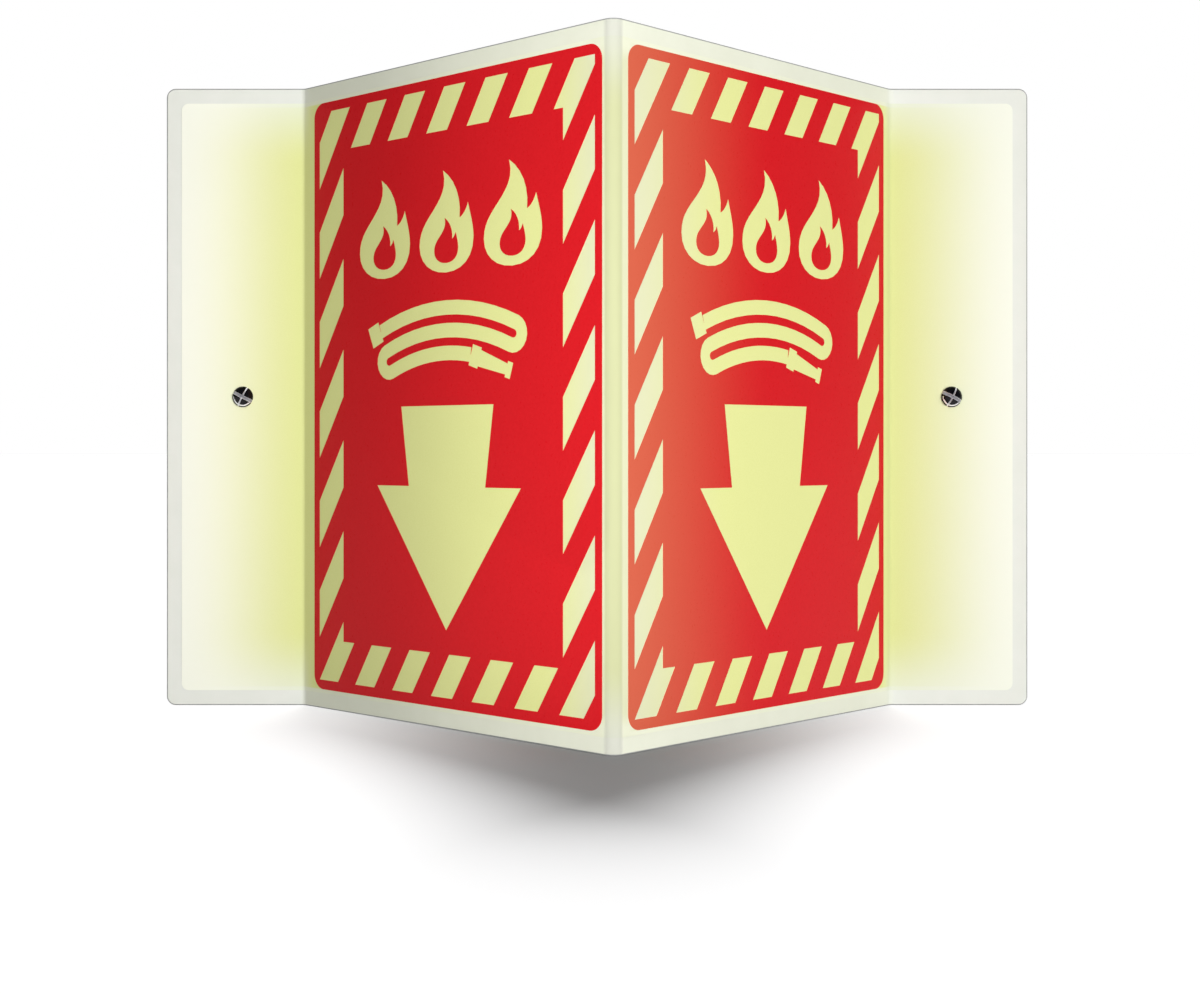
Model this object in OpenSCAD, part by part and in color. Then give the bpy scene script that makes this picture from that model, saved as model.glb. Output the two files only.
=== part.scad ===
// V-shaped projecting wall sign: one folded plastic sheet, a photoluminescent film
// on its front, a printed legend on each panel and two wall screws.
// X runs to the viewer's right, Y into the wall, Z up. The origin is on the wall,
// halfway between the two screws.

/* [Sheet] */
// Height of the sheet, along its folds
sheet_h = 304.8; // [240:0.1:450]
// Thickness of the sheet
sheet_t = 2.5; // [1.5:0.1:4]
// Width of each flange, from its outer edge to the wall fold
flange_w = 68.1; // [55:0.1:110]
// Width of each panel, from the wall fold to the nose
panel_w = 204.6; // [150:0.1:320]
// Angle between the two panels at the nose
nose_angle = 90; // [70:1:120]
// Inside radius of the nose bend
nose_bend_r = 3; // [1.5:0.1:8]
// Front radius of the wall bends
wall_bend_r = 3; // [1.5:0.1:8]
// Radius of the flange corners
corner_r = 4.5; // [2:0.1:12]
// Radius of the eased edges
edge_r = 0.6; // [0.2:0.05:0.7]

/* [Glowing film] */
// Thickness of the film
film_t = 0.3; // [0.1:0.05:0.6]
// Width of the bare border between the film and the sheet's edge
film_inset = 7.5; // [4:0.1:15]
// Radius of the film's corners
film_corner_r = 3.5; // [1:0.1:8]

/* [Print] */
// Thickness of the ink
ink_t = 0.1; // [0.05:0.05:0.3]
// Room beside a print on the flat of its panel, both sides together
print_side_room = 7.9; // [5:0.1:20]
// Part of that room on the left of the left print, beside the wall bend
left_print_start = 7.2; // [0.2:0.1:7.4]
// Part of that room on the left of the right print, beside the nose bend
right_print_start = 3; // [0.2:0.1:7.4]
// Space from the film's upper and lower edges to the print
print_end_gap = 1.9; // [0.5:0.1:10]
// Radius of the print's corners
print_corner_r = 7; // [3:0.1:12]
// Width of the outer line beside the stripes
rim_side = 4; // [2:0.1:8]
// Width of the outer line above and below the stripes
rim_end = 4.6; // [2:0.1:8]

/* [Striped border] */
// Width of the striped band at the sides
band_side = 18.3; // [12:0.1:25]
// Width of the striped band at the top and the bottom
band_end = 19.8; // [12:0.1:25]
// Level width of one open stripe
stripe_w = 14.1; // [8:0.1:20]
// Level distance from one stripe to the next
stripe_pitch = 26.9; // [22:0.1:36]
// Level distance from the print's corner to the first stripe
stripe_start = 15.8; // [10:0.1:20]
// Lean of the stripes away from upright
stripe_lean = 31.6; // [20:0.1:45]

/* [Flames] */
// Height of a flame
flame_h = 46.5; // [30:0.1:60]
// Width of a flame
flame_w = 36; // [20:0.1:40]
// Distance between the flames' centres
flame_pitch = 42.5; // [41:0.1:50]
// Number of flames
flame_count = 3; // [1:1:3]
// Size of the inner flame, as a share of the flame around it
flame_core = 0.44; // [0.3:0.01:0.5]
// Foot of the inner flame above the foot of the flame
flame_core_foot = 4.3; // [3:0.1:7]
// Foot of the flames above the middle of the print
flame_foot = 54.1; // [45:0.1:60]

/* [Folded hose] */
// Width of the hose line
hose_w = 6.6; // [4:0.1:7.5]
// Distance between the hose's runs
hose_pitch = 10.3; // [9:0.1:12]
// Outer radius of the arched runs
hose_arch_r = 121; // [100:1:160]
// Half of the angle that the runs cover
hose_half_angle = 22.5; // [15:0.5:26]
// Crown of the arch above the middle of the print
hose_crown = 41.6; // [38:0.1:44]
// Length of the nozzle
nozzle_l = 27; // [15:0.1:30]

/* [Arrow] */
// Width of the arrow's shaft at its top
arrow_top_w = 61.4; // [40:0.1:80]
// Width of the arrow's shaft at the head
arrow_neck_w = 50.9; // [30:0.1:70]
// Width of the arrow's head
arrow_head_w = 95.3; // [75:0.1:110]
// Top of the arrow below the middle of the print
arrow_top = 6; // [4:0.1:12]
// Length of the arrow's shaft
arrow_shaft_l = 36.8; // [20:0.1:45]
// Length of the arrow's head
arrow_head_l = 65; // [40:0.1:70]

/* [Wall screws] */
// Distance from the flange's outer edge to its screw
screw_edge = 37.8; // [15:0.1:42]
// Outer diameter of the threaded shank
shank_d = 4.8; // [3.6:0.1:6]
// Diameter of the plain neck between the head and the thread
neck_d = 3.9; // [2.6:0.1:4.2]
// Room between the shank and its hole, all round
hole_clearance = 0.35; // [0.1:0.05:1]
// Length of the shank under the head
shank_l = 32; // [20:0.1:60]
// Length of the shank's point
point_l = 6; // [3:0.1:10]
// Diameter of the head
head_d = 10.2; // [9:0.1:14]
// Height of the head
head_h = 3.4; // [2.5:0.1:5]
// Height of the head's upright rim
head_rim_h = 0.9; // [0.4:0.1:1.2]
// Width of the main slot
slot_w = 1.2; // [0.8:0.1:1.6]
// Width of the cross slot
cross_slot_w = 0.7; // [0.5:0.1:1.2]
// Thickness left below the slots
slot_floor = 1.4; // [1.2:0.1:2]
// Turn of the main slot away from level
slot_turn = 27; // [0:1:90]

/* [Hidden] */
$fn = 48;

// A cut passes through a face by this much
cut_over = 1;

// Turns of the sheet at the folds
nose_turn = 180 - nose_angle;
wall_turn = nose_turn / 2;

// Worked-out lengths are whole thousandths, so that neighbouring stretches meet exactly
function whole(x) = round(x * 1000) / 1000;

// Straight stretches of the sheet lap the bends and the corners by less than a hair,
// so that the sheet is one piece at any size
seam_lap = 0.00002;

// Front faces stop short of the sharp fold lines by these lengths
wall_setback = whole(wall_bend_r * tan(wall_turn / 2));
nose_setback = whole((nose_bend_r + sheet_t) * tan(nose_turn / 2));
flange_flat = flange_w - wall_setback;
panel_flat = panel_w - wall_setback - nose_setback;

// Half of the span, from the middle of the sign to a flange's outer edge
half_span = whole(flange_w + panel_w * cos(wall_turn));
screw_x = half_span - screw_edge;

// Size of the print and of the plain field inside its striped band
print_w = panel_flat - print_side_room;
print_h = sheet_h - 2 * (film_inset + print_end_gap);
field_w = print_w - 2 * (rim_side + band_side);
field_h = print_h - 2 * (rim_end + band_end);

// Space that the pictures take, and their scale on a print too small for them
picture_gap = 3;
picture_w = max(flame_pitch * (flame_count - 1) + flame_w, arrow_head_w);
picture_h = 2 * max(flame_foot + flame_h, arrow_top + arrow_shaft_l + arrow_head_l);
picture_scale = min(
    1,
    field_w / (picture_w + 2 * picture_gap),
    field_h / (picture_h + 2 * picture_gap)
);

// The screw's neck passes the film and the sheet, and its thread begins at the wall
neck_l = film_t + sheet_t;

// Steps along each bend of the film, each curve of a flame and each arc of the hose
bend_steps = 12;
flame_steps = 6;
arc_steps = 12;
turn_steps = 10;

// Flame of width 1 and height 1 on its foot: each row is a curve's start, its two
// handles and its end
FLAME = [
    [[0.00, 0.00], [0.30, 0.00], [0.50, 0.12], [0.50, 0.32]],
    [[0.50, 0.32], [0.50, 0.44], [0.44, 0.54], [0.40, 0.66]],
    [[0.40, 0.66], [0.36, 0.58], [0.31, 0.54], [0.25, 0.52]],
    [[0.25, 0.52], [0.28, 0.72], [0.16, 0.90], [-0.06, 1.00]],
    [[-0.06, 1.00], [0.02, 0.82], [-0.12, 0.72], [-0.24, 0.62]],
    [[-0.24, 0.62], [-0.40, 0.50], [-0.50, 0.42], [-0.50, 0.28]],
    [[-0.50, 0.28], [-0.50, 0.12], [-0.30, 0.00], [0.00, 0.00]]
];

// Angle by which the nozzle's tip passes the end of the runs above it
nozzle_overhang = 3;

// Coupling at one end of the hose, and the collar, cone and lip of the nozzle at the other:
// lengths along the run and half widths across it
coupling_l = 8;
coupling_half = 5;
collar_l = 6;
collar_half = 4.9;
nozzle_root_half = 4.2;
nozzle_tip_half = 2.5;
nozzle_lip_half = 3.7;
nozzle_lip_l = 3.4;

function bezier(c, t) =
    pow(1 - t, 3) * c[0] + 3 * pow(1 - t, 2) * t * c[1]
    + 3 * (1 - t) * pow(t, 2) * c[2] + pow(t, 3) * c[3];

function flame_points(w, h) = [
    for (c = FLAME) for (i = [0 : flame_steps - 1])
        let (p = bezier(c, i / flame_steps)) [w * p[0], h * p[1]]
];

// Point of the arch, with its angle measured from upright, to the right
function arch_at(r, angle) = [r * sin(angle), r * cos(angle) - hose_arch_r];

function arch_run(r, from, to) = [
    for (i = [0 : arc_steps]) arch_at(r, from + (to - from) * i / arc_steps)
];

// Half turn between two runs, bulging to the right (side 1) or to the left (side -1)
function arch_turn(r, angle, side) = [
    for (i = [1 : turn_steps - 1])
        let (phi = 180 * i / turn_steps, c = cos(phi), s = side * sin(phi))
            arch_at(r, angle) + hose_pitch / 2 * [
                c * sin(angle) + s * cos(angle),
                c * cos(angle) - s * sin(angle)
            ]
];

function unit(v) = v / norm(v);

// Outline of a line of width w along a path
function ribbon(path, w) =
    let (
        last = len(path) - 1,
        along = [for (i = [0 : last]) unit(path[min(i + 1, last)] - path[max(i - 1, 0)])]
    )
    concat(
        [for (i = [0 : last]) path[i] + w / 2 * [-along[i][1], along[i][0]]],
        [for (i = [last : -1 : 0]) path[i] - w / 2 * [-along[i][1], along[i][0]]]
    );

// Centres of the left wall bend and of the nose bend in plan
wall_bend_at = [flange_flat - half_span, -sheet_t - wall_bend_r];
nose_bend_at = [
    0,
    (nose_bend_r + sheet_t) / cos(wall_turn) - sheet_t - panel_w * sin(wall_turn)
];

// Arc in plan whose chords lie inside it, and one whose chords touch it from outside
function arc_inside(at, r, from, to) = [
    for (i = [0 : bend_steps])
        let (a = from + (to - from) * i / bend_steps) at + r * [cos(a), sin(a)]
];
function arc_outside(at, r, from, to) =
    let (step = (to - from) / bend_steps, far = r / cos(step / 2))
    [for (i = [0.5 : bend_steps]) let (a = from + step * i) at + far * [cos(a), sin(a)]];

function reversed(points) = [for (i = [len(points) - 1 : -1 : 0]) points[i]];

// Line in plan that runs along the sheet at a distance of ahead before its front,
// from one flange's outer edge to the other's
function left_line(ahead) = concat(
    [[-half_span, -sheet_t - ahead]],
    arc_inside(wall_bend_at, wall_bend_r - ahead, 90, 90 - wall_turn),
    arc_outside(nose_bend_at, nose_bend_r + sheet_t + ahead, 270 - wall_turn, 270)
);
function sheet_line(ahead) =
    let (left = left_line(ahead))
    concat(left, [for (p = reversed(left)) [-p[0], p[1]]]);

// Folding: each module places its children at the start of the next stretch,
// with X along the sheet, the front face at Y = 0 and the back behind it
module at_left_flange() translate([-half_span, -sheet_t, 0]) children();
module at_left_fold() at_left_flange() translate([flange_flat, 0, 0]) children();
module at_left_panel() at_left_fold() after_wall_bend() children();
module at_nose() at_left_panel() translate([panel_flat, 0, 0]) children();
module at_right_panel() at_nose() after_nose_bend() children();
module at_right_fold() at_right_panel() translate([panel_flat, 0, 0]) children();
module at_right_flange() at_right_fold() after_wall_bend() children();

module after_wall_bend()
    translate([0, -wall_bend_r, 0])
        rotate([0, 0, -wall_turn])
            translate([0, wall_bend_r, 0])
                children();

module after_nose_bend()
    translate([0, sheet_t + nose_bend_r, 0])
        rotate([0, 0, nose_turn])
            translate([0, -sheet_t - nose_bend_r, 0])
                children();

// Rectangle with round corners, from its lower left corner
module rounded_rect(w, h, r) {
    translate([r, 0]) square([w - 2 * r, h]);
    translate([0, r]) square([w, h - 2 * r]);
    for (x = [r, w - r], y = [r, h - r])
        translate([x, y]) circle(r);
}

// Section across the sheet, thickness along X and height along Y, its edges eased by r
module sheet_section(thick, r)
    translate([0, -sheet_h / 2])
        rounded_rect(thick, sheet_h, r);

// Straight stretch of the sheet
module flat_run(l, thick, r)
    translate([l / 2, 0, 0])
        rotate([90, 0, 90])
            linear_extrude(l + 2 * seam_lap, center = true)
                sheet_section(thick, r);

// Bend towards the viewer, centred in front of the sheet
module wall_bend(thick, r)
    translate([0, -wall_bend_r, 0])
        rotate([0, 0, 90 - wall_turn])
            rotate_extrude(angle = wall_turn)
                translate([wall_bend_r, 0])
                    sheet_section(thick, r);

// Bend away from the viewer, centred behind the sheet
module nose_bend(thick, r)
    translate([0, thick + nose_bend_r, 0])
        rotate([0, 0, -90])
            rotate_extrude(angle = nose_turn)
                translate([nose_bend_r, 0])
                    sheet_section(thick, r);

// Edge of a flange, from its corner's centre at X = 0 out to the corner's radius
module edge_section(thick, corner, r) {
    square([corner - r, thick]);
    translate([0, r]) square([corner, thick - 2 * r]);
    for (y = [r, thick - r])
        translate([corner - r, y]) circle(r);
}

// Flange from its outer edge at X = 0 to the wall bend, with two round corners
module flange_run(thick, corner, r)
    translate([corner, 0, 0]) {
        flat_run(flange_flat - corner, thick, r);
        mirror([1, 0, 0])
            linear_extrude(sheet_h - 2 * corner + 2 * seam_lap, center = true)
                edge_section(thick, corner, r);
        for (up = [0, 1])
            mirror([0, 0, up])
                translate([0, 0, corner - sheet_h / 2])
                    rotate([-90, 0, 0])
                        rotate([0, 0, 90])
                            rotate_extrude(angle = 90)
                                edge_section(thick, corner, r);
    }

// The sheet, folded stretch by stretch from its left edge to its right edge
module folded_sheet() {
    at_left_flange() flange_run(sheet_t, corner_r, edge_r);
    at_left_fold() wall_bend(sheet_t, edge_r);
    at_left_panel() flat_run(panel_flat, sheet_t, edge_r);
    at_nose() nose_bend(sheet_t, edge_r);
    at_right_panel() flat_run(panel_flat, sheet_t, edge_r);
    at_right_fold() wall_bend(sheet_t, edge_r);
    at_right_flange()
        translate([flange_flat, 0, 0])
            mirror([1, 0, 0])
                flange_run(sheet_t, corner_r, edge_r);
}

// The film in plan, lying on the front of the sheet
module film_plan()
    polygon(concat(sheet_line(film_t), reversed(sheet_line(0))));

// The film's outline as seen from the front
module film_outline() {
    w = 2 * (half_span - film_inset);
    h = sheet_h - 2 * film_inset;
    translate([-w / 2, -h / 2]) rounded_rect(w, h, film_corner_r);
}

// Holes for the two wall screws, from the wall to the front of the film
module screw_holes()
    for (x = [-screw_x, screw_x])
        translate([x, cut_over, 0])
            rotate([90, 0, 0])
                cylinder(d = shank_d + 2 * hole_clearance, h = sheet_t + film_t + 2 * cut_over);

// Open stripes: one family of slanted bars, seen through the frame-shaped band
module stripes() {
    lean = print_h * tan(stripe_lean);
    intersection() {
        difference() {
            square([print_w - 2 * rim_side, print_h - 2 * rim_end], center = true);
            square([field_w, field_h], center = true);
        }
        for (x = [stripe_start : stripe_pitch : print_w + lean])
            translate([x - print_w / 2, print_h / 2])
                polygon([[0, 0], [stripe_w, 0], [stripe_w - lean, -print_h], [-lean, -print_h]]);
    }
}

module flame()
    difference() {
        polygon(flame_points(flame_w, flame_h));
        translate([0, flame_core_foot])
            polygon(flame_points(flame_w * flame_core, flame_h * flame_core));
    }

module flames()
    for (i = [0 : flame_count - 1])
        translate([(i - (flame_count - 1) / 2) * flame_pitch, flame_foot])
            flame();

// Folded hose: three arched runs joined by two half turns
module hose() {
    outer_r = hose_arch_r - hose_w / 2;
    middle_r = outer_r - hose_pitch;
    inner_r = middle_r - hose_pitch;
    nozzle_angle = nozzle_l / inner_r * 180 / PI;
    nozzle_from = hose_half_angle + nozzle_overhang - nozzle_angle;
    translate([0, hose_crown]) {
        polygon(ribbon(concat(
            arch_run(outer_r, -hose_half_angle, hose_half_angle),
            arch_turn((outer_r + middle_r) / 2, hose_half_angle, 1),
            arch_run(middle_r, hose_half_angle, -hose_half_angle),
            arch_turn((middle_r + inner_r) / 2, -hose_half_angle, -1),
            arch_run(inner_r, -hose_half_angle, nozzle_from)
        ), hose_w));
        translate(arch_at(outer_r, -hose_half_angle))
            rotate(hose_half_angle)
                translate([-coupling_l, -coupling_half])
                    square([coupling_l, 2 * coupling_half]);
        translate(arch_at(inner_r, nozzle_from))
            rotate(-nozzle_from - nozzle_angle / 2)
                nozzle();
    }
}

module nozzle() {
    translate([0, -collar_half]) square([collar_l, 2 * collar_half]);
    polygon([
        [0, nozzle_root_half],
        [nozzle_l - nozzle_lip_l, nozzle_tip_half],
        [nozzle_l - nozzle_lip_l, -nozzle_tip_half],
        [0, -nozzle_root_half]
    ]);
    translate([nozzle_l - nozzle_lip_l, -nozzle_lip_half])
        square([nozzle_lip_l, 2 * nozzle_lip_half]);
}

module arrow()
    translate([0, -arrow_top])
        polygon([
            [-arrow_top_w / 2, 0],
            [arrow_top_w / 2, 0],
            [arrow_neck_w / 2, -arrow_shaft_l],
            [arrow_head_w / 2, -arrow_shaft_l],
            [0, -arrow_shaft_l - arrow_head_l],
            [-arrow_head_w / 2, -arrow_shaft_l],
            [-arrow_neck_w / 2, -arrow_shaft_l]
        ]);

// Print of one panel, centred: a rounded field with its openings
module legend_outline()
    difference() {
        translate([-print_w / 2, -print_h / 2]) rounded_rect(print_w, print_h, print_corner_r);
        stripes();
        scale(picture_scale) {
            flames();
            hose();
            arrow();
        }
    }

// Print on the film of a panel, from start on along the panel's flat
module legend(start)
    translate([start + print_w / 2, -film_t, 0])
        rotate([90, 0, 0])
            linear_extrude(ink_t)
                legend_outline();

// Wall screw along Z, head up, its seat at Z = 0
module screw() {
    dome_h = head_h - head_rim_h;
    dome_r = (pow(head_d / 2, 2) + pow(dome_h, 2)) / (2 * dome_h);
    difference() {
        rotate_extrude()
            intersection() {
                square([head_d / 2, head_h]);
                translate([0, head_h - dome_r]) circle(dome_r, $fn = 96);
            }
        rotate(-slot_turn)
            translate([-head_d, -slot_w / 2, slot_floor]) cube([2 * head_d, slot_w, head_h]);
        rotate(90 - slot_turn)
            translate([-head_d, -cross_slot_w / 2, slot_floor])
                cube([2 * head_d, cross_slot_w, head_h]);
    }
    rotate_extrude()
        polygon([
            [0, -shank_l],
            [shank_d / 2, point_l - shank_l],
            [shank_d / 2, -neck_l],
            [neck_d / 2, -neck_l],
            [neck_d / 2, slot_floor / 2],
            [0, slot_floor / 2]
        ]);
}

module wall_screw(x)
    color("dimgray")
        translate([x, -sheet_t - film_t, 0])
            rotate([90, 0, 0])
                screw();

module sign_panel()
    color("whitesmoke")
        difference() {
            folded_sheet();
            screw_holes();
        }

module glow_film()
    color("khaki")
        difference() {
            intersection() {
                translate([0, 0, -sheet_h / 2]) linear_extrude(sheet_h) film_plan();
                rotate([90, 0, 0]) linear_extrude(sheet_t + film_t + panel_w) film_outline();
            }
            screw_holes();
        }

module legend_left()
    color("crimson")
        at_left_panel() legend(left_print_start);

module legend_right()
    color("crimson")
        at_right_panel() legend(right_print_start);

module screw_left() wall_screw(-screw_x);

module screw_right() wall_screw(screw_x);

sign_panel();
glow_film();
legend_left();
legend_right();
screw_left();
screw_right();
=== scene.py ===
"""V-shaped projecting wall sign: finishes, detailed wall screws, floor, lights and camera."""

import math

import bmesh
import bpy
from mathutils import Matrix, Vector


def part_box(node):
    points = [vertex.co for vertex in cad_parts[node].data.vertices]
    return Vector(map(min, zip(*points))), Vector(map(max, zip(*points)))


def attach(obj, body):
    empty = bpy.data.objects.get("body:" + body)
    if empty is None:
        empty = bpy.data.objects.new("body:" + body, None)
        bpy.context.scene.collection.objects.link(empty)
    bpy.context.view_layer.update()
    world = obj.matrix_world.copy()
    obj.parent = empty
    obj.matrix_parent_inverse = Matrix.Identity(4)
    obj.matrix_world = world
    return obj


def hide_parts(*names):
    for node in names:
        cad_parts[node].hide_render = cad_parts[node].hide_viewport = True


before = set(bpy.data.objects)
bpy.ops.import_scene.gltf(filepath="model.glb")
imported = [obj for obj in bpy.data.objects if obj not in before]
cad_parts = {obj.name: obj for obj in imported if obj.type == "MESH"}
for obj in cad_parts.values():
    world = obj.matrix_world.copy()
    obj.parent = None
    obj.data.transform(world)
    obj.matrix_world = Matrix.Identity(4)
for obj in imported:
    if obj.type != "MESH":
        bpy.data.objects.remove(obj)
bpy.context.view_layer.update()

MM = 0.001

# Places that the frame gives
sheet_low, sheet_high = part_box("sign_panel")
film_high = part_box("glow_film")[1]
print_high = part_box("legend_left")[1]

# Places on the folded sheet: the nose is at X = 0, the wall at Y = 0
FLANGE_FRONT = -2.5 * MM
FOLD_X = 144.67 * MM
film_flange_y = FLANGE_FRONT - 0.3 * MM
# how far the panels' front lies along their outward normal
PANEL_FRONT = (FOLD_X - FLANGE_FRONT) * math.sqrt(0.5)
# how far behind it the film's tint on the sheet begins, and where it is full
TINT_START = 2.35 * MM
TINT_FULL = 1.6 * MM
# the sheet's corner, and how far in from the cut the band of painted shade on its eased edge
# lies
SHEET_CORNER_R = 4.5 * MM
BAND_INNER = (0.8 * MM, 0.4 * MM)
BAND_OUTER = (0.02 * MM, 0.1 * MM)

# Wall screw, in millimetres
HEAD_R = 5.1
HEAD_H = 3.4
HEAD_RIM_H = 0.9
DOME_H = HEAD_H - HEAD_RIM_H
BALL_R = (HEAD_R**2 + DOME_H**2) / (2 * DOME_H)
RIM_EASE = 0.15
HEAD_SIDES = 96
HEAD_RINGS = (4.85, 4.6, 4.3, 4, 3.6, 3.2, 2.8, 2.4, 2, 1.6, 1.2, 0.8, 0.4)
SLOT_FLOOR = 1.4
# each slot: width, width of its eased lips, turn from level
SLOTS = ((1.2, 0.22, math.radians(27)), (0.5, 0.1, math.radians(27 - 90)))
# the wheel that eases the lips stands this many lips proud of the dome
WHEEL_PROUD = 2
WHEEL_STEPS = 128
# a face belongs to a slot from this depth on, this close to it, and above this height
SLOT_DEPTH_LEAST = 0.015
SLOT_SIDE_SLACK = 0.01
SLOT_LOWEST = 0.3
# arcs of the rim with a painted highlight: inner and outer radius, first and last angle from
# level
RIM_PAINTED_HIGHLIGHT = ((4.3, 4.6, 178, 326), (4, 4.3, 200, 316))
# the least share of a face's normal that points out of the wall, on the dome and on the rim
DOME_FACING = 0.3
RIM_TOP_FACING = 0.9
SMOOTH_UNDER = math.radians(32)
NECK_R = 1.95
NECK_L = 2.8
# the neck runs on into the head, and by this much in all into head and shank
NECK_IN_HEAD = 0.6
NECK_LAP = 3
SHANK_R = 2.4
SHANK_L = 32
ROOT_R = 1.75
PITCH = 1.8
# the crest's start and end, and the thread's first rise, in shares of the pitch
CREST = (0.4, 0.52)
RUN_IN = 0.6
TURNS = 15
THREAD_STEPS = 28
POINT_L = 6
POINT_TIP = 0.06
SAME_POINT = 0.001
SAME_POINT_AT_END = 0.0005

# Floor and world: how bright they are to the sign, in its gloss, and to the camera
FLOOR_SIZE = 60
FLOOR_TO_SIGN = 0.033
FLOOR_IN_GLOSS = 0.2
FLOOR_SEEN = 0.2
WORLD_TO_SIGN = 0.22
WORLD_IN_GLOSS = 0.03
WORLD_SEEN = 1.0

# Shadow card
CARD_NOSE_H = 198 * MM
CARD_END_H = 83 * MM
CARD_FALL = 2
CARD_STEPS = 12
CARD_BEHIND_NOSE = 3.5 * MM
CARD_CLEAR_X = 193 * MM
CARD_FULL_X = 8 * MM
CARD_STRENGTH = 0.885

# Camera, measured in the photo's 1200 x 993 pixels
PHOTO_W = 1200
PHOTO_H = 993
FOCAL_PX = 1743
CENTRE_PX = (514.2, 448.3)
CAMERA_AT = (-41 * MM, FLANGE_FRONT - 861.6 * MM, -25.4 * MM)
SENSOR_W = 36


def rgb(red, green, blue):
    """Linear colour of a surface that reads as these screen values in full light."""
    values = [v / 255 for v in (red, green, blue)]
    linear = [v / 12.92 if v <= 0.04045 else ((v + 0.055) / 1.055) ** 2.4 for v in values]
    return (*linear, 1)


def grey(value):
    return (value, value, value, 1)


# Colours of the sheet
PANEL_WHITES = (rgb(238, 240, 220), rgb(242, 244, 225))
FLANGE_WHITES = (rgb(233, 236, 227), rgb(237, 239, 231))
# painted shade over the nose
SHEET_NOSE_PAINTED_SHADE = rgb(206, 207, 194)
# painted shade on the eased edge
EASED_EDGE_PAINTED_SHADE = rgb(160, 162, 160)
# Colours of the film
FILM_GREENS = (rgb(233, 236, 156), rgb(238, 241, 164))
# painted sheen towards the nose on the right panel
FILM_NOSE_SIDE_PAINTED_SHEEN = rgb(228, 229, 192)
FILM_PAST_PRINT = rgb(243, 245, 220)
FILM_PANEL_CORNER = rgb(240, 242, 216)
# painted shade over the nose, lighter at its ends
FILM_NOSE_PAINTED_SHADE = rgb(196, 199, 154)
FILM_NOSE_END_PAINTED_SHADE = rgb(205, 207, 191)
FILM_FLANGE_END = rgb(246, 249, 226)
FILM_SIDE = rgb(253, 255, 240)
# Colours of the ink
INK_REDS = (rgb(221, 30, 38), rgb(216, 26, 34))
# painted sheen on the right print towards the nose
INK_PAINTED_SHEEN = rgb(216, 103, 76)
# Colours of the screws
BLACKS = (rgb(5, 5, 7), rgb(18, 18, 21))
SLOT_GREYS = (rgb(150, 149, 154), rgb(172, 171, 177))
# the lips' near-white greys are bare steel, partly a painted highlight
LIP_GREYS = (rgb(228, 228, 232), rgb(244, 244, 246))
# the rim's near-white greys are a painted highlight
RIM_GREYS = (rgb(238, 238, 238), rgb(250, 250, 250))
# Painted shade: tints that multiply a colour where one side of the sign is to look in more
# shade
LEFT_PANEL_PAINTED_SHADE = grey(0.885)
RIGHT_FLANGE_PAINTED_SHADE = (0.885, 0.9, 0.9, 1)
LEFT_FLANGE_PAINTED_SHADE = (0.93, 0.95, 0.95, 1)


def add_node(tree, kind, **settings):
    node = tree.nodes.new(kind)
    for name, value in settings.items():
        setattr(node, name, value)
    return node


class Finish:
    """A material with one Principled shader, and short calls to build what feeds it."""

    def __init__(self, name):
        self.material = bpy.data.materials.new(name)
        self.material.use_nodes = True
        self.tree = self.material.node_tree
        self.shader = self.tree.nodes["Principled BSDF"]

    def add(self, kind, **settings):
        return add_node(self.tree, kind, **settings)

    def link(self, source, target):
        self.tree.links.new(source, target)

    def set(self, **numbers):
        for name, value in numbers.items():
            self.shader.inputs[name.replace("_", " ")].default_value = value

    def feed(self, source, name):
        self.link(source, self.shader.inputs[name])


def shader_group(name, inputs, outputs):
    """A new node group with named sockets, and its two end nodes."""
    group = bpy.data.node_groups.new(name, "ShaderNodeTree")
    for way, sockets in (("INPUT", inputs), ("OUTPUT", outputs)):
        for socket, kind in sockets.items():
            group.interface.new_socket(socket, in_out=way, socket_type="NodeSocket" + kind)
    return group, group.nodes.new("NodeGroupInput"), group.nodes.new("NodeGroupOutput")


def fine_mottle():
    """Node group: a fine even grain, for colour, roughness and bump."""
    group, start, end = shader_group(
        "fine_mottle", {"Scale": "Float", "Low": "Float", "High": "Float"}, {"Grain": "Float"}
    )
    place = add_node(group, "ShaderNodeTexCoord")
    noise = add_node(group, "ShaderNodeTexNoise")
    noise.inputs["Detail"].default_value = 3
    noise.inputs["Roughness"].default_value = 0.6
    # most of the noise lies between these two values
    spread = add_node(group, "ShaderNodeMapRange")
    spread.inputs["From Min"].default_value = 0.3
    spread.inputs["From Max"].default_value = 0.7
    link = group.links.new
    link(place.outputs["Object"], noise.inputs["Vector"])
    link(start.outputs["Scale"], noise.inputs["Scale"])
    link(noise.outputs["Fac"], spread.inputs["Value"])
    link(start.outputs["Low"], spread.inputs["To Min"])
    link(start.outputs["High"], spread.inputs["To Max"])
    link(spread.outputs["Result"], end.inputs["Grain"])
    return group


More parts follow.
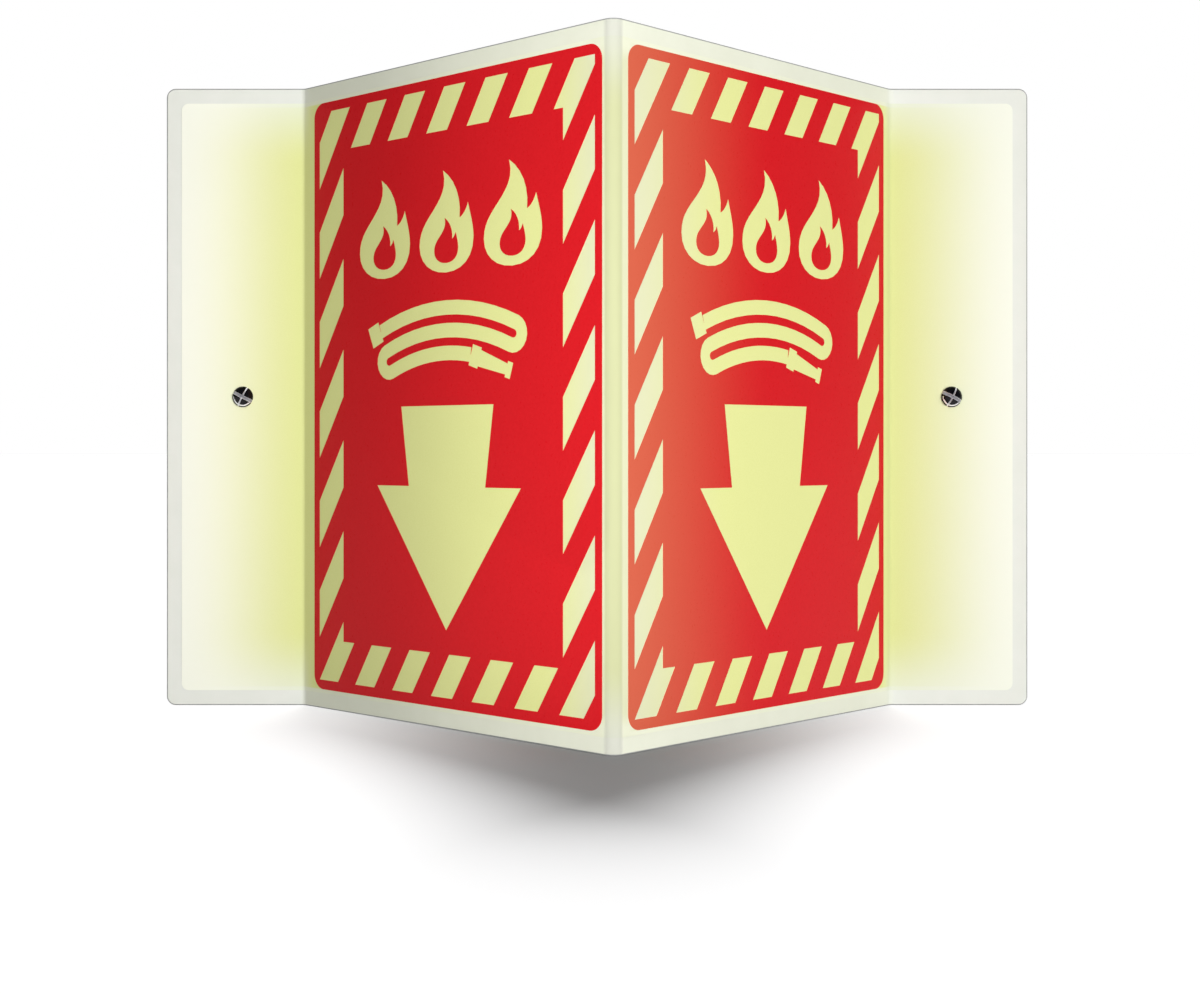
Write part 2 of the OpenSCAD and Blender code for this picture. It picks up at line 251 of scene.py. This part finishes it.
def place_ramp():
    """Node group: a smooth ramp along an axis, one way or both ways from the middle."""
    group, start, end = shader_group(
        "place_ramp",
        {"Axis": "Vector", "Start": "Float", "End": "Float"},
        {"One Way": "Float", "Both Ways": "Float"},
    )
    place = add_node(group, "ShaderNodeTexCoord")
    reach = add_node(group, "ShaderNodeVectorMath", operation="DOT_PRODUCT")
    either = add_node(group, "ShaderNodeMath", operation="ABSOLUTE")
    link = group.links.new
    link(place.outputs["Object"], reach.inputs[0])
    link(start.outputs["Axis"], reach.inputs[1])
    link(reach.outputs["Value"], either.inputs[0])
    for source, name in ((reach.outputs["Value"], "One Way"), (either.outputs[0], "Both Ways")):
        ramp = add_node(group, "ShaderNodeMapRange", interpolation_type="SMOOTHSTEP")
        link(source, ramp.inputs["Value"])
        link(start.outputs["Start"], ramp.inputs["From Min"])
        link(start.outputs["End"], ramp.inputs["From Max"])
        link(ramp.outputs["Result"], end.inputs[name])
    return group


MOTTLE = fine_mottle()
PLACE_RAMP = place_ramp()
AXES = {
    "X": (1, 0, 0),
    "Z": (0, 0, 1),
    "out of right panel": (math.sqrt(0.5), -math.sqrt(0.5), 0),
    "out of left panel": (-math.sqrt(0.5), -math.sqrt(0.5), 0),
}


def ramp_node(tree, axis, start, end):
    node = add_node(tree, "ShaderNodeGroup", node_tree=PLACE_RAMP)
    node.inputs["Axis"].default_value = AXES[axis]
    node.inputs["Start"].default_value = start
    node.inputs["End"].default_value = end
    return node


def left_panel_shade():
    """Node group: painted shade, the left panel darker towards its fold."""
    group, start, end = shader_group(
        "left_panel_shade", {"Color": "Color", "Shade": "Color"}, {"Color": "Color"}
    )
    towards_fold = ramp_node(group, "X", start=-50 * MM, end=-115 * MM)
    on_panel = ramp_node(group, "X", start=-FOLD_X - 2 * MM, end=-FOLD_X + 1 * MM)
    share = add_node(group, "ShaderNodeMath", operation="MULTIPLY")
    mix = add_node(group, "ShaderNodeMix", data_type="RGBA", blend_type="MULTIPLY")
    link = group.links.new
    link(towards_fold.outputs["One Way"], share.inputs[0])
    link(on_panel.outputs["One Way"], share.inputs[1])
    link(share.outputs[0], mix.inputs["Factor"])
    link(start.outputs["Color"], mix.inputs["A"])
    link(start.outputs["Shade"], mix.inputs["B"])
    link(mix.outputs["Result"], end.inputs["Color"])
    return group


LEFT_PANEL_SHADE = left_panel_shade()


def grain(finish, scale, low=0, high=1):
    node = finish.add("ShaderNodeGroup", node_tree=MOTTLE)
    node.inputs["Scale"].default_value = scale
    node.inputs["Low"].default_value = low
    node.inputs["High"].default_value = high
    return node.outputs["Grain"]


def along(finish, axis, start, end):
    """0 up to start along an axis, 1 from end on."""
    return ramp_node(finish.tree, axis, start, end).outputs["One Way"]


def away_from(finish, axis, start, end):
    """The same both ways from the middle."""
    return ramp_node(finish.tree, axis, start, end).outputs["Both Ways"]


def product(finish, first, second):
    node = finish.add("ShaderNodeMath", operation="MULTIPLY")
    finish.link(first, node.inputs[0])
    finish.link(second, node.inputs[1])
    return node.outputs[0]


def mixed_colour(finish, factor, first, second, blend_type="MIX"):
    """The first colour where the factor is 0, the second, or its tint, where it is 1."""
    node = finish.add("ShaderNodeMix", data_type="RGBA", blend_type=blend_type)
    finish.link(factor, node.inputs["Factor"])
    for name, colour in (("A", first), ("B", second)):
        if isinstance(colour, tuple):
            node.inputs[name].default_value = colour
        else:
            finish.link(colour, node.inputs[name])
    return node.outputs["Result"]


def mottled(finish, scale, colours):
    return mixed_colour(finish, grain(finish, scale), *colours)


# painted shade: the left panel darker towards its fold
def left_shade(finish, colour):
    node = finish.add("ShaderNodeGroup", node_tree=LEFT_PANEL_SHADE)
    finish.link(colour, node.inputs["Color"])
    node.inputs["Shade"].default_value = LEFT_PANEL_PAINTED_SHADE
    return node.outputs["Color"]


def surface(finish, scale, smooth, rough, bump_scale, strength, height):
    """Uneven gloss between two roughnesses, and a fine bump."""
    finish.feed(grain(finish, scale, smooth, rough), "Roughness")
    bump = finish.add("ShaderNodeBump")
    bump.inputs["Strength"].default_value = strength
    bump.inputs["Distance"].default_value = height
    finish.link(grain(finish, bump_scale), bump.inputs["Height"])
    finish.feed(bump.outputs["Normal"], "Normal")


def near_edge(finish):
    """1 on the eased edge of the sheet, round its corners too, and 0 on the cut itself: where
    the edge's shade is painted.
    """
    place = finish.add("ShaderNodeTexCoord")
    spread = finish.add("ShaderNodeVectorMath", operation="ABSOLUTE")
    past = finish.add("ShaderNodeVectorMath", operation="SUBTRACT")
    outside = finish.add("ShaderNodeVectorMath", operation="MAXIMUM")
    reach = finish.add("ShaderNodeVectorMath", operation="LENGTH")
    # the corner's centre, with a Y that no point of the sheet reaches
    past.inputs[1].default_value = (
        sheet_high.x - SHEET_CORNER_R,
        1,
        sheet_high.z - SHEET_CORNER_R,
    )
    outside.inputs[1].default_value = (0, 0, 0)
    finish.link(place.outputs["Object"], spread.inputs[0])
    finish.link(spread.outputs["Vector"], past.inputs[0])
    finish.link(past.outputs["Vector"], outside.inputs[0])
    finish.link(outside.outputs["Vector"], reach.inputs[0])
    ramps = []
    for start, end in (BAND_INNER, BAND_OUTER):
        ramp = finish.add("ShaderNodeMapRange", interpolation_type="SMOOTHSTEP")
        ramp.inputs["From Min"].default_value = SHEET_CORNER_R - start
        ramp.inputs["From Max"].default_value = SHEET_CORNER_R - end
        finish.link(reach.outputs["Value"], ramp.inputs["Value"])
        ramps.append(ramp.outputs["Result"])
    return product(finish, *ramps)


def sheet_plastic():
    finish = Finish("white_sheet_plastic")
    panels = mottled(finish, 60, PANEL_WHITES)
    flanges = mottled(finish, 60, FLANGE_WHITES)
    # painted shade: the sheet darker over the nose
    on_nose = away_from(finish, "X", start=4.4 * MM, end=2.8 * MM)
    panels = mixed_colour(finish, on_nose, panels, SHEET_NOSE_PAINTED_SHADE)
    # the film tints the front of the panels, and leaves their back white
    front = finish.add("ShaderNodeMath", operation="MAXIMUM")
    for k, side in enumerate(("out of right panel", "out of left panel")):
        on_front = along(
            finish, side, start=PANEL_FRONT - TINT_START, end=PANEL_FRONT - TINT_FULL
        )
        finish.link(on_front, front.inputs[k])
    panels = mixed_colour(finish, front.outputs[0], flanges, panels)
    on_flanges = away_from(finish, "X", start=FOLD_X - 3 * MM, end=FOLD_X + 3 * MM)
    faces = mixed_colour(finish, on_flanges, panels, flanges)
    # painted shade on the left panel and along the eased edge
    finish.feed(
        mixed_colour(finish, near_edge(finish), left_shade(finish, faces), EASED_EDGE_PAINTED_SHADE),
        "Base Color",
    )
    finish.set(Specular_IOR_Level=0.25)
    surface(
        finish, scale=1500, smooth=0.42, rough=0.52,
        bump_scale=1500, strength=0.25, height=0.02 * MM,
    )
    return finish.material


def glow_film():
    finish = Finish("glow_film")
    green = mottled(finish, 2200, FILM_GREENS)
    # painted sheen: paler towards the nose on the right panel, and back to green on the left
    # one
    pale = along(finish, "X", start=55 * MM, end=2 * MM)
    colour = mixed_colour(finish, pale, green, FILM_NOSE_SIDE_PAINTED_SHEEN)
    on_left = along(finish, "X", start=-2 * MM, end=-30 * MM)
    colour = mixed_colour(finish, on_left, colour, green)
    # past the ends of the print it is as pale as the sheet
    past_print = away_from(
        finish, "Z", start=print_high.z - 0.5 * MM, end=print_high.z + 0.5 * MM
    )
    colour = mixed_colour(finish, past_print, colour, FILM_PAST_PRINT)
    # and where the print's corners beside the nose are rounded
    in_corners = product(
        finish,
        away_from(finish, "Z", start=print_high.z - 9 * MM, end=print_high.z - 1 * MM),
        away_from(finish, "X", start=13 * MM, end=6 * MM),
    )
    colour = mixed_colour(finish, in_corners, colour, FILM_PANEL_CORNER)
    # painted shade over the nose, lighter at its ends
    nose_ends = away_from(
        finish, "Z", start=film_high.z - 31 * MM, end=film_high.z + 4 * MM
    )
    nose = mixed_colour(finish, nose_ends, FILM_NOSE_PAINTED_SHADE, FILM_NOSE_END_PAINTED_SHADE)
    on_nose = away_from(finish, "X", start=4.2 * MM, end=3 * MM)
    colour = mixed_colour(finish, on_nose, colour, nose)
    # on the flanges it pales towards top and bottom, and towards the sides
    flange_ends = product(
        finish,
        away_from(finish, "Z", start=film_high.z - 31 * MM, end=film_high.z + 10 * MM),
        away_from(finish, "X", start=FOLD_X - 6 * MM, end=FOLD_X + 2 * MM),
    )
    colour = mixed_colour(finish, flange_ends, colour, FILM_FLANGE_END)
    sides = away_from(finish, "X", start=FOLD_X - 4 * MM, end=film_high.x + 4 * MM)
    colour = mixed_colour(finish, sides, colour, FILM_SIDE)
    # and painted shade darkens it next to the folds
    right_flange = product(
        finish,
        along(finish, "X", start=FOLD_X - 4 * MM, end=FOLD_X),
        along(finish, "X", start=film_high.x + 40 * MM, end=FOLD_X),
    )
    colour = mixed_colour(finish, right_flange, colour, RIGHT_FLANGE_PAINTED_SHADE, "MULTIPLY")
    left_flange = product(
        finish,
        along(finish, "X", start=-FOLD_X + 1 * MM, end=-FOLD_X - 2 * MM),
        along(finish, "X", start=-FOLD_X - 45 * MM, end=-FOLD_X),
    )
    colour = mixed_colour(finish, left_flange, colour, LEFT_FLANGE_PAINTED_SHADE, "MULTIPLY")
    # painted shade on the left panel
    finish.feed(left_shade(finish, colour), "Base Color")
    finish.set(Specular_IOR_Level=0.2)
    surface(
        finish, scale=1200, smooth=0.38, rough=0.48,
        bump_scale=1800, strength=0.3, height=0.02 * MM,
    )
    return finish.material


def red_ink():
    finish = Finish("red_ink")
    solid = mottled(finish, 700, INK_REDS)
    # painted sheen: the right print is lighter towards the nose
    on_right = along(finish, "X", start=-1 * MM, end=1 * MM)
    ink_sheen = mixed_colour(finish, on_right, solid, INK_PAINTED_SHEEN)
    towards_nose = along(finish, "X", start=78 * MM, end=-4 * MM)
    ink = mixed_colour(finish, towards_nose, solid, ink_sheen)
    # painted shade on the left panel
    finish.feed(left_shade(finish, ink), "Base Color")
    finish.set(Specular_IOR_Level=0.1)
    surface(
        finish, scale=900, smooth=0.26, rough=0.36,
        bump_scale=2500, strength=0.2, height=0.01 * MM,
    )
    return finish.material


def black_steel():
    finish = Finish("black_steel")
    finish.feed(mottled(finish, 800, BLACKS), "Base Color")
    finish.set(Specular_IOR_Level=0.25)
    surface(
        finish, scale=900, smooth=0.16, rough=0.28,
        bump_scale=3000, strength=0.15, height=0.01 * MM,
    )
    return finish.material


# bare steel, and the painted highlight of the lips and the rim
def bare_steel_and_highlight(name, colours, metallic, smooth, rough):
    finish = Finish(name)
    finish.feed(mottled(finish, 1500, colours), "Base Color")
    finish.set(Metallic=metallic)
    surface(
        finish, scale=2500, smooth=smooth, rough=rough,
        bump_scale=4000, strength=0.2, height=0.01 * MM,
    )
    return finish.material


def give_finish(piece, material):
    piece.data.materials.clear()
    piece.data.materials.append(material)


give_finish(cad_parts["sign_panel"], sheet_plastic())
give_finish(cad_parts["glow_film"], glow_film())
INK = red_ink()
for name in ("legend_left", "legend_right"):
    give_finish(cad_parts[name], INK)
BLACK_STEEL = black_steel()
SLOT_STEEL = bare_steel_and_highlight("slot_steel", SLOT_GREYS, metallic=0.35, smooth=0.3, rough=0.45)
# the lips' near-white steel is bare steel, partly a painted highlight
LIP_STEEL = bare_steel_and_highlight("lip_steel", LIP_GREYS, metallic=0.2, smooth=0.2, rough=0.32)
# the rim's near-white steel is a painted highlight
RIM_STEEL = bare_steel_and_highlight("rim_steel", RIM_GREYS, metallic=0.2, smooth=0.15, rough=0.25)
for name in ("screw_left", "screw_right"):
    give_finish(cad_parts[name], BLACK_STEEL)


# Wall screws, modelled in millimetres along the Y axis with the seat of the head at Y = 0,
# then brought to metres and to their places
def let_go():
    if bpy.context.object is not None and bpy.context.object.mode != "OBJECT":
        bpy.ops.object.mode_set(mode="OBJECT")
    bpy.ops.object.select_all(action="DESELECT")


def take(item):
    let_go()
    item.select_set(True)
    bpy.context.view_layer.objects.active = item


def edit(item):
    take(item)
    bpy.ops.object.mode_set(mode="EDIT")
    bpy.ops.mesh.select_mode(type="FACE")


def settle(item):
    """Put the object's place, turn and size into its mesh."""
    take(item)
    bpy.ops.object.transform_apply(location=True, rotation=True, scale=True)


def pick_faces(item, test):
    bpy.ops.mesh.select_mode(type="FACE")
    mesh = bmesh.from_edit_mesh(item.data)
    for face in mesh.faces:
        face.select_set(test(face))
    bmesh.update_edit_mesh(item.data)


def pick_edges(item, test):
    bpy.ops.mesh.select_mode(type="EDGE")
    mesh = bmesh.from_edit_mesh(item.data)
    for edge in mesh.edges:
        edge.select_set(test(edge))
    bmesh.update_edit_mesh(item.data)


def close_mesh(threshold):
    """Merge doubled points of the mesh in edit mode, and turn its faces outwards."""
    bpy.ops.mesh.select_all(action="SELECT")
    bpy.ops.mesh.remove_doubles(threshold=threshold)
    bpy.ops.mesh.normals_make_consistent(inside=False)


def finish_faces(item, material, test):
    pick_faces(item, test)
    item.active_material_index = item.data.materials.find(material.name)
    bpy.ops.object.material_slot_assign()


def apply_boolean(item, other, operation):
    cut = item.modifiers.new(operation.lower(), "BOOLEAN")
    cut.operation = operation
    cut.solver = "EXACT"
    cut.object = other
    take(item)
    bpy.ops.object.modifier_apply(modifier=cut.name)
    bpy.data.objects.remove(other)


def dome_height(r):
    return math.sqrt(BALL_R**2 - r**2) - BALL_R + HEAD_H


def dome_head():
    let_go()
    bpy.ops.mesh.primitive_cylinder_add(
        vertices=HEAD_SIDES,
        radius=HEAD_R - RIM_EASE,
        depth=HEAD_RIM_H,
        location=(0, -HEAD_RIM_H / 2, 0),
        rotation=(math.radians(90), 0, 0),
    )
    head = bpy.context.object
    head.name = "wall_screw"
    settle(head)
    edit(head)
    # the rim bulges a little between seat and dome
    pick_faces(head, lambda face: face.normal.y < -RIM_TOP_FACING)
    bulge = HEAD_R / (HEAD_R - RIM_EASE)
    bpy.ops.transform.resize(value=(bulge, 1, bulge), center_override=(0, -HEAD_RIM_H, 0))
    r = HEAD_R
    for new_r in HEAD_RINGS:
        step = dome_height(new_r) - dome_height(r)
        bpy.ops.mesh.extrude_region_move(TRANSFORM_OT_translate={"value": (0, -step, 0)})
        bpy.ops.transform.resize(
            value=(new_r / r, 1, new_r / r), center_override=(0, -dome_height(new_r), 0)
        )
        r = new_r
    let_go()
    return head


def cut_slot(head, width, turn):
    let_go()
    bpy.ops.mesh.primitive_cube_add(size=1)
    cutter = bpy.context.object
    cutter.scale = (4 * HEAD_R, HEAD_H, width)
    cutter.rotation_euler = (0, turn, 0)
    cutter.location = (0, -SLOT_FLOOR - HEAD_H / 2, 0)
    settle(cutter)
    apply_boolean(head, cutter, "DIFFERENCE")


def ease_slot(head, width, lip, turn):
    """Chamfer a slot's two lips with a wheel that rolls along the dome."""
    let_go()
    bpy.ops.mesh.primitive_plane_add(size=1)
    wheel = bpy.context.object
    edit(wheel)
    mesh = bmesh.from_edit_mesh(wheel.data)
    # the plane becomes the section of the wheel's tread, narrower on the inside
    inner = (width / 2, BALL_R - lip)
    outer = (width / 2 + (WHEEL_PROUD + 1) * lip, BALL_R + WHEEL_PROUD * lip)
    for vert in mesh.verts:
        half, radius = outer if vert.co.y > 0 else inner
        vert.co = (half if vert.co.x > 0 else -half, 0, radius)
    bmesh.update_edit_mesh(wheel.data)
    bpy.ops.mesh.select_all(action="SELECT")
    bpy.ops.mesh.delete(type="ONLY_FACE")
    bpy.ops.mesh.select_all(action="SELECT")
    bpy.ops.mesh.spin(
        steps=WHEEL_STEPS, angle=math.radians(360), center=(0, 0, 0), axis=(1, 0, 0)
    )
    close_mesh(SAME_POINT)
    let_go()
    # the wheel's axle lies across the slot, through the centre of the dome's ball
    wheel.rotation_euler = (0, turn - math.radians(90), 0)
    wheel.location = (0, BALL_R - HEAD_H, 0)
    settle(wheel)
    apply_boolean(head, wheel, "DIFFERENCE")


def on_rim_highlight(face):
    """True for a face of the dome's lower edge that carries the rim's painted highlight."""
    centre = face.calc_center_median()
    around = math.degrees(math.atan2(centre.z, centre.x)) % 360
    return face.normal.y < -DOME_FACING and any(
        inner < centre.xz.length < outer and start < around < end
        for inner, outer, start, end in RIM_PAINTED_HIGHLIGHT
    )


def depth_in_slot(face, width, lip, turn):
    """How far below the dome a face lies that a slot's cutters have left, or 0."""
    across = Vector((math.sin(turn), 0, math.cos(turn)))
    centre = face.calc_center_median()
    beside = abs(centre.dot(across)) > width / 2 + lip + SLOT_SIDE_SLACK
    if beside or centre.y > -SLOT_LOWEST:
        return 0
    depth = dome_height(min(centre.xz.length, HEAD_R)) + centre.y
    return depth if depth > SLOT_DEPTH_LEAST else 0


def in_any_slot(face):
    return any(depth_in_slot(face, *slot) for slot in SLOTS)


def deep_in_main_slot(face):
    """True below the eased lips of the wide slot."""
    main_slot = SLOTS[0]
    return depth_in_slot(face, *main_slot) > main_slot[1]


def threaded_shank():
    """Closed thread with a tapered point, from Y = NECK_L to the tip."""
    let_go()
    bpy.ops.mesh.primitive_circle_add(vertices=4, radius=1, fill_type="NOTHING")
    shank = bpy.context.object
    # four corners of the circle become the profile of one turn: root, two of the crest, root
    crest_start, crest_end = CREST
    profile = [
        (ROOT_R, 0),
        (SHANK_R, crest_start * PITCH),
        (SHANK_R, crest_end * PITCH),
        (ROOT_R, PITCH),
    ]
    edit(shank)
    mesh = bmesh.from_edit_mesh(shank.data)
    mesh.edges.ensure_lookup_table()
    mesh.verts.ensure_lookup_table()
    mesh.edges.remove([e for e in mesh.edges if {v.index for v in e.verts} == {0, 3}][0])
    for vert, (r, z) in zip(mesh.verts, profile):
        vert.co = (r, 0, z)
    bmesh.update_edit_mesh(shank.data)
    let_go()
    turns = shank.modifiers.new("turns", "SCREW")
    turns.axis = "Z"
    turns.angle = math.radians(360)
    turns.screw_offset = PITCH
    turns.iterations = TURNS
    turns.steps = THREAD_STEPS
    turns.render_steps = THREAD_STEPS
    turns.use_merge_vertices = True
    turns.merge_threshold = SAME_POINT
    take(shank)
    bpy.ops.object.modifier_apply(modifier=turns.name)
    # taper the point, and the first turn out of the neck
    total = (TURNS + 1) * PITCH
    for vert in shank.data.vertices:
        to_tip = (total - vert.co.z) / POINT_L
        risen = (vert.co.z + RUN_IN * PITCH) / ((1 + RUN_IN) * PITCH)
        keep = max(POINT_TIP, min(1, to_tip))
        size = math.hypot(vert.co.x, vert.co.y)
        wanted = min(size, ROOT_R + max(0, min(1, risen)) * (size - ROOT_R)) * keep
        vert.co.x *= wanted / size
        vert.co.y *= wanted / size
    edit(shank)
    bpy.ops.mesh.select_all(action="SELECT")
    bpy.ops.mesh.remove_doubles(threshold=SAME_POINT)
    # close the end at the neck, then the one at the tip
    middle = total / 2
    for at_tip in (False, True):
        pick_edges(
            shank,
            lambda edge: edge.is_boundary
            and (sum(v.co.z for v in edge.verts) / 2 > middle) == at_tip,
        )
        bpy.ops.mesh.extrude_edges_move(TRANSFORM_OT_translate={"value": (0, 0, 0)})
        bpy.ops.mesh.merge(type="CENTER")
    bpy.ops.mesh.select_all(action="SELECT")
    bpy.ops.mesh.normals_make_consistent(inside=False)
    let_go()
    high = max(v.co.z for v in shank.data.vertices)
    shank.rotation_euler = (math.radians(-90), 0, 0)
    shank.location = (0, SHANK_L - high, 0)
    settle(shank)
    return shank


def screw_neck():
    """Plain neck between the head and the thread, lapping both."""
    let_go()
    depth = NECK_L + NECK_LAP
    bpy.ops.mesh.primitive_cylinder_add(
        vertices=HEAD_SIDES // 2,
        radius=NECK_R,
        depth=depth,
        location=(0, depth / 2 - NECK_IN_HEAD, 0),
        rotation=(math.radians(90), 0, 0),
    )
    neck = bpy.context.object
    settle(neck)
    return neck


def wall_screw():
    head = dome_head()
    for width, lip, turn in SLOTS:
        cut_slot(head, width, turn)
        ease_slot(head, width, lip, turn)
    for material in (BLACK_STEEL, SLOT_STEEL, LIP_STEEL, RIM_STEEL):
        head.data.materials.append(material)
    edit(head)
    finish_faces(head, RIM_STEEL, on_rim_highlight)
    finish_faces(head, LIP_STEEL, in_any_slot)
    finish_faces(head, SLOT_STEEL, deep_in_main_slot)
    apply_boolean(head, screw_neck(), "UNION")
    apply_boolean(head, threaded_shank(), "UNION")
    edit(head)
    close_mesh(SAME_POINT_AT_END)
    let_go()
    take(head)
    bpy.ops.object.shade_smooth_by_angle(angle=SMOOTH_UNDER)
    head.scale = (MM, MM, MM)
    settle(head)
    return head


left_screw = wall_screw()
left_screw.name = "wall_screw_left"
right_screw = bpy.data.objects.new("wall_screw_right", left_screw.data.copy())
bpy.context.scene.collection.objects.link(right_screw)
for screw, node in ((left_screw, "screw_left"), (right_screw, "screw_right")):
    low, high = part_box(node)
    screw.location = ((low.x + high.x) / 2, film_flange_y, 0)
    settle(screw)
    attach(screw, "root")
    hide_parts(node)


def studio_floor():
    """Floor that the camera sees brighter than it shines on the sign."""
    bpy.ops.mesh.primitive_plane_add(size=FLOOR_SIZE, location=(0, 0, sheet_low.z))
    floor = bpy.context.object
    floor.name = "floor"
    finish = Finish("floor_white")
    finish.set(Roughness=1, Specular_IOR_Level=0)
    path = finish.add("ShaderNodeLightPath")
    unseen = mixed_colour(
        finish, path.outputs["Is Glossy Ray"], grey(FLOOR_TO_SIGN), grey(FLOOR_IN_GLOSS)
    )
    finish.feed(
        mixed_colour(finish, path.outputs["Is Camera Ray"], unseen, grey(FLOOR_SEEN)),
        "Base Color",
    )
    floor.data.materials.append(finish.material)
    return floor


def studio_world():
    """White backdrop to the camera, and a dim even light to everything else."""
    world = bpy.data.worlds.new("studio")
    bpy.context.scene.world = world
    world.use_nodes = True
    tree = world.node_tree
    back = tree.nodes["Background"]
    path = add_node(tree, "ShaderNodeLightPath")
    for_gloss = add_node(tree, "ShaderNodeMix")
    for_eye = add_node(tree, "ShaderNodeMix")
    tree.links.new(path.outputs["Is Glossy Ray"], for_gloss.inputs["Factor"])
    for_gloss.inputs["A"].default_value = WORLD_TO_SIGN
    for_gloss.inputs["B"].default_value = WORLD_IN_GLOSS
    tree.links.new(path.outputs["Is Camera Ray"], for_eye.inputs["Factor"])
    tree.links.new(for_gloss.outputs["Result"], for_eye.inputs["A"])
    for_eye.inputs["B"].default_value = WORLD_SEEN
    back.inputs["Color"].default_value = (1, 1, 1, 1)
    tree.links.new(for_eye.outputs["Result"], back.inputs["Strength"])


def shadow_card():
    """Unseen card inside the two panels, high and dense at the nose, low and clear at the
    folds. It alone shades the floor light, and so makes the soft shadow under the nose."""
    nose_y = sheet_low.y + CARD_BEHIND_NOSE
    points = []
    for side in (-1, 1):
        for step in range(CARD_STEPS + 1):
            share = step / CARD_STEPS
            rise = CARD_END_H + (CARD_NOSE_H - CARD_END_H) * (1 - share) ** CARD_FALL
            place = (side * FOLD_X * share, nose_y * (1 - share))
            points += [(*place, sheet_low.z), (*place, sheet_low.z + rise)]
    faces = []
    for first in (0, 2 * (CARD_STEPS + 1)):
        for step in range(CARD_STEPS):
            k = first + 2 * step
            faces.append((k, k + 1, k + 3, k + 2))
    mesh = bpy.data.meshes.new("shadow_card")
    mesh.from_pydata(points, [], faces)
    card = bpy.data.objects.new("shadow_card", mesh)
    finish = Finish("shadow_card")
    strength = finish.add("ShaderNodeMath", operation="MULTIPLY")
    finish.link(away_from(finish, "X", CARD_CLEAR_X, CARD_FULL_X), strength.inputs[0])
    strength.inputs[1].default_value = CARD_STRENGTH
    finish.feed(strength.outputs[0], "Alpha")
    mesh.materials.append(finish.material)
    bpy.context.scene.collection.objects.link(card)
    card.visible_camera = False
    card.visible_diffuse = False
    card.visible_glossy = False
    card.visible_transmission = False
    return card


def group_of(name, pieces):
    group = bpy.data.collections.new(name)
    for piece in pieces:
        group.objects.link(piece)
    return group


floor = studio_floor()
studio_world()
sign_only = group_of(
    "lit_by_front_lights", [*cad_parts.values(), left_screw, right_screw]
)
floor_only = group_of("lit_by_floor_light", [floor])
card_only = group_of("shades_floor_light", [shadow_card()])
no_shade = group_of("shades_nothing", [])


def lamp(name, kind, at, towards, power, lights_only, shaded_by=None, **settings):
    """Light that neither the camera nor a reflection sees. Without shaded_by, everything
    casts its shadow."""
    data = bpy.data.lights.new(name, kind)
    data.energy = power
    for key, value in settings.items():
        setattr(data, key, value)
    item = bpy.data.objects.new(name, data)
    bpy.context.scene.collection.objects.link(item)
    item.location = at
    aim = Vector(towards) - Vector(at)
    item.rotation_euler = aim.to_track_quat("-Z", "Y").to_euler()
    item.visible_camera = False
    item.visible_glossy = False
    item.light_linking.receiver_collection = lights_only
    if shaded_by is not None:
        item.light_linking.blocker_collection = shaded_by


def softbox(name, at, towards, watts, wide, high, shaded_by=None):
    """Rectangular light for the sign alone."""
    lamp(
        name, "AREA", at, towards, watts, sign_only, shaded_by,
        shape="RECTANGLE", size=wide, size_y=high,
    )


# three strips close to the left panel brighten it towards the nose
softbox("nose_strip", at=(-0.07, -0.30, 0), towards=(-0.03, -0.1, 0),
        watts=0.27, wide=0.05, high=0.6)
softbox("wide_nose_strip", at=(-0.12, -0.33, 0), towards=(-0.06, -0.08, 0),
        watts=0.25, wide=0.05, high=0.6)
softbox("low_nose_strip", at=(-0.07, -0.30, -0.09), towards=(-0.03, -0.1, -0.09),
        watts=0.105, wide=0.05, high=0.14)
# the main light comes from the right
softbox("right_softbox", at=(1.189, -1.417, -0.05), towards=(0, 0, 0),
        watts=5.1, wide=0.6, high=1.2)
softbox("far_right_softbox", at=(1.602, -0.925, -0.05), towards=(0, 0, 0),
        watts=4.9, wide=0.6, high=1.2)
softbox("low_front_strip", at=(0.633, -1.738, -0.02), towards=(0, 0, 0),
        watts=18.8, wide=0.6, high=0.25)
# behind the sign, for the views from there
softbox("back_softbox", at=(0.4, 1.35, 1.1), towards=(0, 0, 0),
        watts=22, wide=1.2, high=1.2, shaded_by=sign_only)
# two suns light the floor: one with the card's shadow, one with none
lamp("floor_sun", "SUN", (0.075, 1, 1), (0, 0, 0), 20.3,
     floor_only, card_only, angle=math.radians(24))
lamp("floor_fill", "SUN", (0, 0, 1), (0, 0, 0), 1.25,
     floor_only, no_shade, angle=math.radians(60), color=(0.93, 0.97, 1))

camera_data = bpy.data.cameras.new("camera")
camera = bpy.data.objects.new("camera", camera_data)
bpy.context.scene.collection.objects.link(camera)
camera.location = CAMERA_AT
camera.rotation_euler = (math.radians(90), 0, 0)
camera_data.sensor_width = SENSOR_W
camera_data.lens = FOCAL_PX / PHOTO_W * SENSOR_W
camera_data.shift_x = (PHOTO_W / 2 - CENTRE_PX[0]) / PHOTO_W
camera_data.shift_y = (CENTRE_PX[1] - PHOTO_H / 2) / PHOTO_W
bpy.context.scene.camera = camera
bpy.context.scene.view_settings.view_transform = "Standard"
